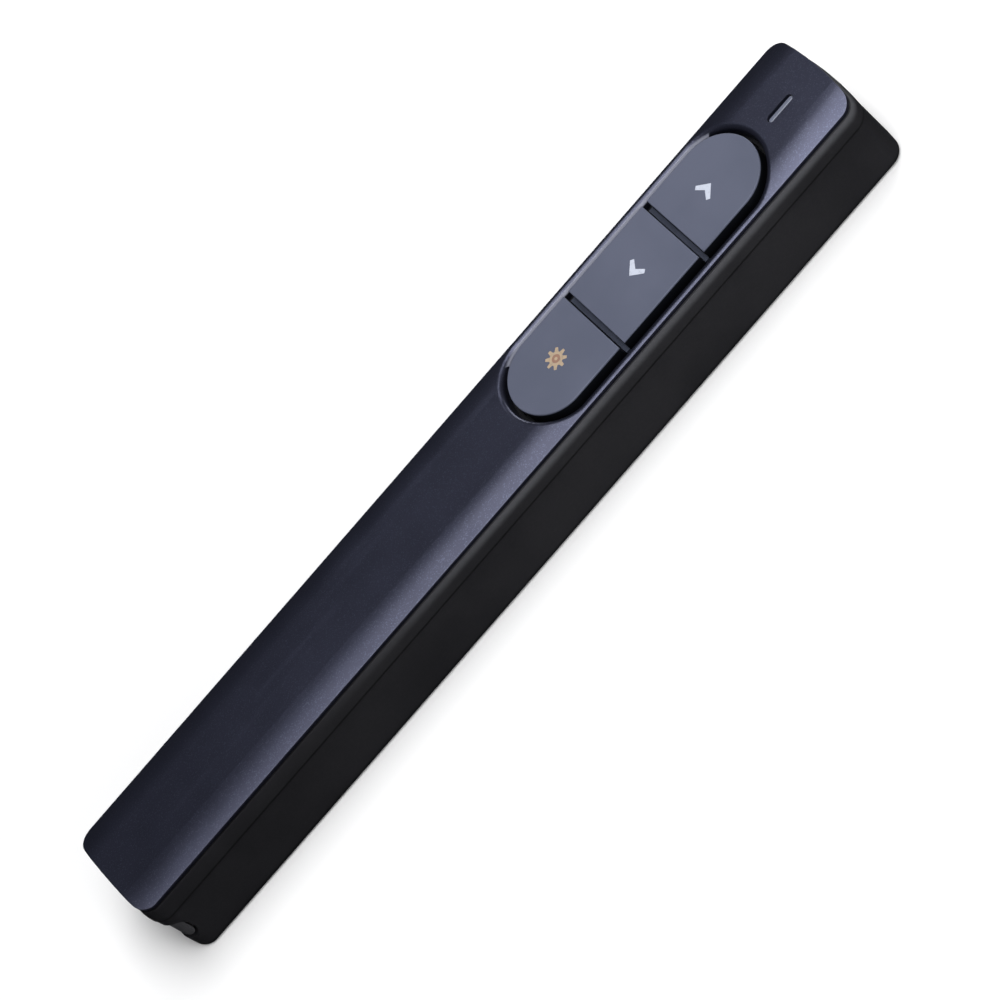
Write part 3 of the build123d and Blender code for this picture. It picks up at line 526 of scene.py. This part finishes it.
# Clear, dark and milky glass
glassLook = {"smudges": 500, "dust": 3500, "depth": 0.0002 * mm, "index": 1.49, "coat": 0.3}
lightBarLook = glassLook | {
    "body": (0.112, 0.124, 0.17), "smear": (0.078, 0.087, 0.12), "rough": 0.32, "through": 0.0,
}
lensLook = glassLook | {
    "body": (0.86, 0.88, 0.90), "smear": (0.74, 0.76, 0.80), "rough": 0.04, "through": 0.85,
}
windowLook = glassLook | {
    "body": (0.012, 0.012, 0.014), "smear": (0.03, 0.03, 0.034), "rough": 0.08, "through": 0.0,
}


def glassFinish(name, look):
    finish = Finish(name)
    smudge = finish.noise(look["smudges"], 4)
    dust = finish.cells(look["dust"])
    return finish.finished({
        "Base Color": finish.mix(smudge.ramp(0.35, 0.7), rgba(look["body"]), rgba(look["smear"])),
        "Roughness": look["rough"] + smudge.ramp(0.4, 0.8) * 0.12,
        "Normal": finish.bump(dust, look["depth"]),
        "Transmission Weight": look["through"],
        "IOR": look["index"],
        "Coat Weight": look["coat"],
    })


barMilk = glassFinish("barMilk", lightBarLook)
lensGlass = glassFinish("lensGlass", lensLook)
windowDark = glassFinish("windowDark", windowLook)

# Insulated leads
wireLook = {
    "skin": (0.38, 0.018, 0.014), "scuff": (0.5, 0.05, 0.04),
    "scuffs": 900, "grain": 6000, "depth": 0.003 * mm,
}


def wireFinish(name, look):
    finish = Finish(name)
    scuffs = finish.noise(look["scuffs"], 4, finish.centred((0, 0, 0), (0.3, 1, 1)))
    grain = finish.cells(look["grain"])
    return finish.finished({
        "Base Color": finish.mix(scuffs.ramp(0.4, 0.7), rgba(look["skin"]), rgba(look["scuff"])),
        "Roughness": 0.42 + (scuffs - 0.5) * 0.2,
        "Normal": finish.bump(grain, look["depth"]),
    })


wireRed = wireFinish("wireRed", wireLook)

# Cell sleeve: black foil with a copper-gold end and a pale line beside it. Places along it are
# shares of its length.
sleeveLook = {
    "black": (0.012, 0.012, 0.014), "gold": (0.55, 0.30, 0.10), "line": (0.6, 0.6, 0.6),
    "goldFrom": 0.70, "linePlace": 0.688, "lineHalf": 0.004, "soft": 0.002,
    "scuffs": 320, "depth": 0.004 * mm,
}


def sleeveFinish(name, look):
    low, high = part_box("cell_sleeve")
    finish = Finish(name)
    along = finish.axes(finish.centred(low))[0] * (1 / (high.x - low.x))
    gold = along.ramp(look["goldFrom"], look["goldFrom"] + look["soft"] * 2)
    aside = abs(along - look["linePlace"])
    line = 1 - aside.ramp(look["lineHalf"], look["lineHalf"] + look["soft"])
    scuffs = finish.noise(look["scuffs"], 4)
    colour = finish.mix(gold, rgba(look["black"]), rgba(look["gold"]))
    colour = finish.mix(line, colour, rgba(look["line"]))
    colour = finish.mix(scuffs.ramp(0.6, 0.8) * 0.2, colour, rgba(look["line"]))
    return finish.finished({
        "Base Color": colour,
        "Metallic": gold * 0.8,
        "Roughness": 0.26 + scuffs.ramp(0.4, 0.8) * 0.2,
        "Normal": finish.bump(scuffs, look["depth"]),
    })


sleeveGold = sleeveFinish("sleeveGold", sleeveLook)

nodeFinishes = {
    "key_frame": frameShadeBlack, "keypad_membrane": rubberSlate,
    "laser_switch": switchBlack, "page_down_switch": switchBlack, "page_up_switch": switchBlack,
    "laser_stem": stemWhite, "page_down_stem": stemWhite, "page_up_stem": stemWhite,
    "circuit_board": boardGreen, "board_screws": screwSteel, "controller_chip": chipBlack,
    "crystal": platedSteel, "capacitor": ceramicTan, "status_led": ledWhite,
    "laser_barrel": brass, "laser_lens": lensGlass, "laser_diode": platedSteel,
    "laser_leads": platedSteel, "nose_window": windowDark, "power_switch": platedSteel,
    "cell_can": cellSteel, "cell_sleeve": sleeveGold, "cell_leads": wireRed,
    "spring_contact": platedSteel, "button_contact": platedSteel,
    "plug_shell": plugSteel, "plug_insert": switchBlack, "plug_pins": goldPins,
}
for node, finish in nodeFinishes.items():
    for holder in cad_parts[node].material_slots:
        holder.material = finish
print("CAD nodes finished")


# Smooth shading, except on level and upright faces, which stay plainly flat
def shaded(mesh, angle):
    mesh.shade_smooth()
    mesh.set_sharp_from_angle(angle=radians(angle))
    for face in mesh.polygons:
        face.use_smooth = max(abs(face.normal.y), abs(face.normal.z)) < 0.9998


# A bmesh in metres becomes a piece that rides on a body. Normals that came with a CAD node are
# dropped, because they would hide the rounded edges.
def intoPiece(shape, name, body, finish, smoothAngle):
    mesh = bpy.data.meshes.new(name)
    shape.to_mesh(mesh)
    shape.free()
    for layer in [item.name for item in mesh.attributes if item.name == "custom_normal"]:
        mesh.attributes.remove(mesh.attributes[layer])
    mesh.materials.clear()
    mesh.materials.append(finish)
    shaded(mesh, smoothAngle)
    piece = bpy.data.objects.new(name, mesh)
    scene.collection.objects.link(piece)
    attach(piece, body)
    return piece


copyShape = {
    "weld": 0.0005 * mm, "levelAngle": 0.4, "roundAngle": 32, "smoothAngle": 30, "steps": 3,
}


# A copy of a CAD node with its outer edges rounded. The widths are a list of tests and widths,
# and the first test that holds for an edge gives its width.
def softened(node, name, body, finish, widths):
    shape = bmesh.new()
    shape.from_mesh(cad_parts[node].data)
    bmesh.ops.remove_doubles(shape, verts=shape.verts, dist=copyShape["weld"])
    bmesh.ops.dissolve_limit(
        shape, angle_limit=radians(copyShape["levelAngle"]), verts=shape.verts, edges=shape.edges,
    )
    weight = shape.edges.layers.float.new("bevel_weight_edge")
    widest = max(width for test, width in widths)
    sharp = radians(copyShape["roundAngle"])
    for edge in shape.edges:
        if len(edge.link_faces) == 2 and edge.calc_face_angle_signed() > sharp:
            edge[weight] = next((width for test, width in widths if test(edge)), 0) / widest
    piece = intoPiece(shape, name, body, finish, copyShape["smoothAngle"])
    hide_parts(node)
    bevel = piece.modifiers.new("edges", "BEVEL")
    bevel.width = widest
    bevel.segments = copyShape["steps"]
    bevel.limit_method = "WEIGHT"
    bevel.harden_normals = True
    bevel.miter_outer = "MITER_ARC"


# How near a line the middle of an edge lies when the edge counts as part of it
edgeReach = {
    "gap": 0.02 * mm, "crease": 0.2 * mm, "crown": 1.0 * mm,
    "side": 0.3 * mm, "tail": 0.4 * mm, "nose": 1.0 * mm,
}
edgeWidths = {
    "underGap": 0.26 * mm, "casing": 0.1 * mm, "cover": 0.1 * mm, "outline": 0.24 * mm,
    "door": 0.1 * mm, "receiver": 0.1 * mm, "knob": 0.08 * mm,
}


def middleOf(edge):
    return (edge.verts[0].co + edge.verts[1].co) / 2


def anyEdge(edge):
    return True


# The casing's outer upper edge, under the shadow gap
def underGap(edge):
    middle = middleOf(edge)
    if abs(middle.z - casingTop) > edgeReach["gap"]:
        return False
    normals = [face.normal for face in edge.link_faces]
    return all(normal.z > 0.7 or normal.dot(middle) > 0.2 * middle.length for normal in normals)


def onCrease(edge):
    return abs(middleOf(edge).z - casingTop + bandDepth) < edgeReach["crease"]


# The cover's upper edge, all the way round
def onOutline(edge):
    middle = middleOf(edge)
    low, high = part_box("top_cover")
    if middle.z < high.z - edgeReach["crown"]:
        return False
    onSide = abs(middle.y) > high.y - edgeReach["side"]
    onTail = middle.x < low.x + edgeReach["tail"]
    onNose = middle.x > high.x - edgeReach["nose"]
    return onSide or onTail or onNose


softened(
    "lower_casing", "casingShell", "casing", casingBlack,
    [(underGap, edgeWidths["underGap"]), (onCrease, 0), (anyEdge, edgeWidths["casing"])],
)
softened(
    "top_cover", "coverShell", "casing", coverNavy,
    [(onOutline, edgeWidths["outline"]), (anyEdge, edgeWidths["cover"])],
)
softened(
    "cell_door", "doorPanel", "door", doorBlack,
    [(anyEdge, edgeWidths["door"])],
)
softened(
    "receiver_body", "receiverEnd", "receiver", receiverBlack,
    [(anyEdge, edgeWidths["receiver"])],
)
softened(
    "power_knob", "sliderKnob", "knob", doorBlack,
    [(anyEdge, edgeWidths["knob"])],
)
print("shells softened")

# Keys: a slice of the stadium with a rounded top edge, on a foot that the frame holds down
keyShape = {
    "flange": 0.45 * mm, "flangeThickness": 0.5 * mm,
    "boss": 0.2 * mm, "bossRadius": 1.5 * mm, "bossSteps": 32,
    "topEdge": 0.14 * mm, "topSteps": 3, "arcSteps": 28,
}
keyPieces = {
    "laser_key": ("laserKey", "laser_button"),
    "page_down_key": ("pagedownKey", "page_down_button"),
    "page_up_key": ("pageupKey", "page_up_button"),
}
smoothAngle = 35  # between the faces of a piece made here, in degrees


# A flat rectangle at one height, round at either end where that is asked for
def roundEnded(shape, start, end, width, height, roundStart, roundEnd, steps):
    middle = (start + end) / 2
    made = bmesh.ops.create_grid(shape, x_segments=1, y_segments=1, size=0.5)["verts"]
    bmesh.ops.scale(shape, vec=(end - start, width, 1), verts=made)
    bmesh.ops.translate(shape, vec=(middle, 0, height), verts=made)
    corners = [vert for vert in made if (roundStart if vert.co.x < middle else roundEnd)]
    if corners:
        almostHalf = 0.4999  # two corners' arcs meet without a double point
        bmesh.ops.bevel(
            shape, geom=corners, offset=width * almostHalf, offset_type="OFFSET",
            affect="VERTICES", segments=steps, profile=0.5, material=-1,
        )
    tolerance = 0.0001 * mm
    return [face for face in shape.faces if abs(face.calc_center_median().z - height) < tolerance]


def raised(shape, faces, rise):
    top = bmesh.ops.extrude_face_region(shape, geom=faces)["geom"]
    verts = [item for item in top if isinstance(item, bmesh.types.BMVert)]
    bmesh.ops.translate(shape, vec=(0, 0, rise), verts=verts)
    return [item for item in top if isinstance(item, bmesh.types.BMFace)]


def roundedRim(shape, faces, width, steps):
    rim = [edge for face in faces for edge in face.edges]
    bmesh.ops.bevel(
        shape, geom=rim, offset=width, offset_type="OFFSET", affect="EDGES",
        segments=steps, profile=0.5, material=-1,
    )


def turnedOut(shape):
    bmesh.ops.recalc_face_normals(shape, faces=shape.faces)
    return shape


def buildKey(node, name, body):
    low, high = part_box(node)
    first, last = node == "laser_key", node == "page_up_key"
    start = low.x + keyShape["flange"] if first else low.x
    end = high.x - keyShape["flange"] if last else high.x
    width = high.y - low.y - 2 * keyShape["flange"]
    foot = low.z + keyShape["boss"]
    bottom = foot + keyShape["flangeThickness"]
    steps = keyShape["arcSteps"]
    shape = bmesh.new()
    cap = roundEnded(shape, start, end, width, bottom, first, last, steps)
    top = raised(shape, cap, high.z - bottom)
    roundedRim(shape, top, keyShape["topEdge"], keyShape["topSteps"])
    flange = roundEnded(shape, low.x, high.x, high.y - low.y, foot, first, last, steps)
    raised(shape, flange, keyShape["flangeThickness"])
    boss = bmesh.ops.create_cone(
        shape, cap_ends=True, segments=keyShape["bossSteps"], radius1=keyShape["bossRadius"],
        radius2=keyShape["bossRadius"], depth=keyShape["boss"],
    )["verts"]
    bossPlace = ((start + end) / 2, 0, low.z + keyShape["boss"] / 2)
    bmesh.ops.translate(shape, vec=bossPlace, verts=boss)
    piece = intoPiece(turnedOut(shape), name, body, keySlate, smoothAngle)
    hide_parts(node)


for node, (name, body) in keyPieces.items():
    buildKey(node, name, body)
print("keys made")

# Signs printed on the keys: a starburst for the laser, chevrons for the pages. All but their
# thickness is in millimetres. An arm's corners are distances behind the tip and off the middle.
signShape = {
    "thickness": 0.02 * mm,
    "weld": 0.001,
    "starburst": {
        "place": (20.28, 0.36), "disc": 1.06, "discSteps": 40,
        "rays": 8, "rayFoot": 1.02, "rayTip": 1.66, "footWidth": 0.6, "tipWidth": 0.4,
        "core": 0.72, "dot": 0.3, "soft": 0.12,
    },
    "pageDown": {"place": (35.05, 0.2), "direction": -1},
    "pageUp": {"place": (51.5, 0.08), "direction": 1},
    "arm": [(0, 0), (1.6, 1.66), (2.1, 1.28), (1.22, 0)],
}
printLook = {"blots": 2600, "grain": 7000, "depth": 0.002 * mm}
whiteInk = {"ink": (0.45, 0.48, 0.565), "thin": (0.355, 0.38, 0.455)}
creamInk = {"ink": (0.35, 0.265, 0.18), "thin": (0.26, 0.205, 0.15)}
rustInk = {"ink": (0.23, 0.125, 0.085), "thin": (0.18, 0.105, 0.08)}


# One ink, thinner in blots. The starburst gives its own sizes and gets a rust ring in the cream.
def printFinish(name, look, ink, burst=None):
    finish = Finish(name)
    blots = finish.noise(look["blots"], 3)
    grain = finish.cells(look["grain"])
    thinned = blots.ramp(0.5, 0.75)
    colour = finish.mix(thinned, rgba(ink["ink"]), rgba(ink["thin"]))
    if burst:
        middle = (burst["place"][0] * mm, burst["place"][1] * mm, keyTop)
        out = finish.distance(finish.centred(middle))
        core = 1 - out.ramp((burst["core"] - burst["soft"]) * mm, burst["core"] * mm)
        ring = core * out.ramp((burst["dot"] - burst["soft"]) * mm, burst["dot"] * mm)
        rust = finish.mix(thinned, rgba(rustInk["ink"]), rgba(rustInk["thin"]))
        colour = finish.mix(ring, colour, rust)
    return finish.finished({
        "Base Color": colour,
        "Roughness": 0.5 + (blots - 0.5) * 0.2,
        "Normal": finish.bump(grain, look["depth"]),
    })


printWhite = printFinish("printWhite", printLook, whiteInk)
printCream = printFinish("printCream", printLook, creamInk, signShape["starburst"])


# A flat sign in millimetres is brought to its place on a key and given its thickness
def intoSign(shape, name, body, sign, ink):
    bmesh.ops.scale(shape, vec=(mm, mm, mm), verts=shape.verts)
    place = (sign["place"][0] * mm, sign["place"][1] * mm, keyTop)
    bmesh.ops.translate(shape, vec=place, verts=shape.verts)
    raised(shape, list(shape.faces), signShape["thickness"])
    intoPiece(turnedOut(shape), name, body, ink, smoothAngle)


def buildArrow(name, body, sign):
    shape = bmesh.new()
    arm = []
    for behind, aside in signShape["arm"]:
        arm.append(shape.verts.new((-sign["direction"] * behind, aside, 0)))
    face = bmesh.ops.contextual_create(shape, geom=arm)["faces"]
    bmesh.ops.mirror(shape, geom=arm + face, axis="Y", merge_dist=signShape["weld"])
    intoSign(shape, name, body, sign, printWhite)


def buildStarburst(name, body, sign):
    shape = bmesh.new()
    bmesh.ops.create_circle(shape, cap_ends=True, segments=sign["discSteps"], radius=sign["disc"])
    foot, footHalf = sign["rayFoot"], sign["footWidth"] / 2
    tip, tipHalf = sign["rayTip"], sign["tipWidth"] / 2
    corners = [(foot, -footHalf, 0), (tip, -tipHalf, 0), (tip, tipHalf, 0), (foot, footHalf, 0)]
    ray = [shape.verts.new(corner) for corner in corners]
    rayFace = bmesh.ops.contextual_create(shape, geom=ray)["faces"]
    turns = sign["rays"] - 1
    bmesh.ops.spin(
        shape, geom=ray + rayFace, cent=(0, 0, 0), axis=(0, 0, 1),
        angle=2 * pi * turns / sign["rays"], steps=turns, use_duplicate=True,
    )
    intoSign(shape, name, body, sign, printCream)


buildStarburst("laserSign", "laser_button", signShape["starburst"])
buildArrow("pageDownSign", "page_down_button", signShape["pageDown"])
buildArrow("pageUpSign", "page_up_button", signShape["pageUp"])
print("signs printed")

# Status light: a pale bar in its slot, set against the near side
pipeShape = {
    "length": 4.56 * mm, "width": 0.66 * mm, "shift": -0.17 * mm, "sink": 0.02 * mm,
    "edge": 0.12 * mm, "edgeSteps": 3, "arcSteps": 12,
    "shoulderTop": 1.0 * mm, "shoulderThickness": 0.8 * mm,
}


def buildPipe():
    low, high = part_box("light_pipe")
    middle = (low.x + high.x) / 2
    half = pipeShape["length"] / 2
    width, steps = pipeShape["width"], pipeShape["arcSteps"]
    shape = bmesh.new()
    bar = roundEnded(shape, middle - half, middle + half, width, low.z, True, True, steps)
    top = raised(shape, bar, high.z - low.z - pipeShape["sink"])
    roundedRim(shape, top, pipeShape["edge"], pipeShape["edgeSteps"])
    bmesh.ops.translate(shape, vec=(0, pipeShape["shift"], 0), verts=shape.verts)
    foot = high.z - pipeShape["shoulderTop"] - pipeShape["shoulderThickness"]
    shoulder = roundEnded(shape, low.x, high.x, high.y - low.y, foot, True, True, steps)
    raised(shape, shoulder, pipeShape["shoulderThickness"])
    bmesh.ops.translate(shape, vec=(0, (low.y + high.y) / 2, 0), verts=shape.verts)
    piece = intoPiece(turnedOut(shape), "statusBar", "casing", barMilk, smoothAngle)
    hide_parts("light_pipe")


buildPipe()
print("status light made")

# Pale table under the object
floorLook = {
    "size": 3.0, "drop": 0.01 * mm, "cloud": 6, "shine": 0.1,
    "pale": (0.86, 0.86, 0.86), "shade": (0.84, 0.84, 0.845),
}


def floorFinish(name, look):
    finish = Finish(name)
    clouds = finish.noise(look["cloud"], 3)
    return finish.finished({
        "Base Color": finish.mix(clouds, rgba(look["pale"]), rgba(look["shade"])),
        "Roughness": 0.8 + (clouds - 0.5) * 0.1,
        "Specular IOR Level": look["shine"],
    })


floorShape = bmesh.new()
bmesh.ops.create_grid(floorShape, x_segments=1, y_segments=1, size=floorLook["size"])
floorMesh = bpy.data.meshes.new("table")
floorShape.to_mesh(floorMesh)
floorShape.free()
floorMesh.materials.append(floorFinish("tablePale", floorLook))
table = bpy.data.objects.new("table", floorMesh)
table.location.z = -floorLook["drop"]
table.visible_glossy = False
scene.collection.objects.link(table)

print("scene ready")
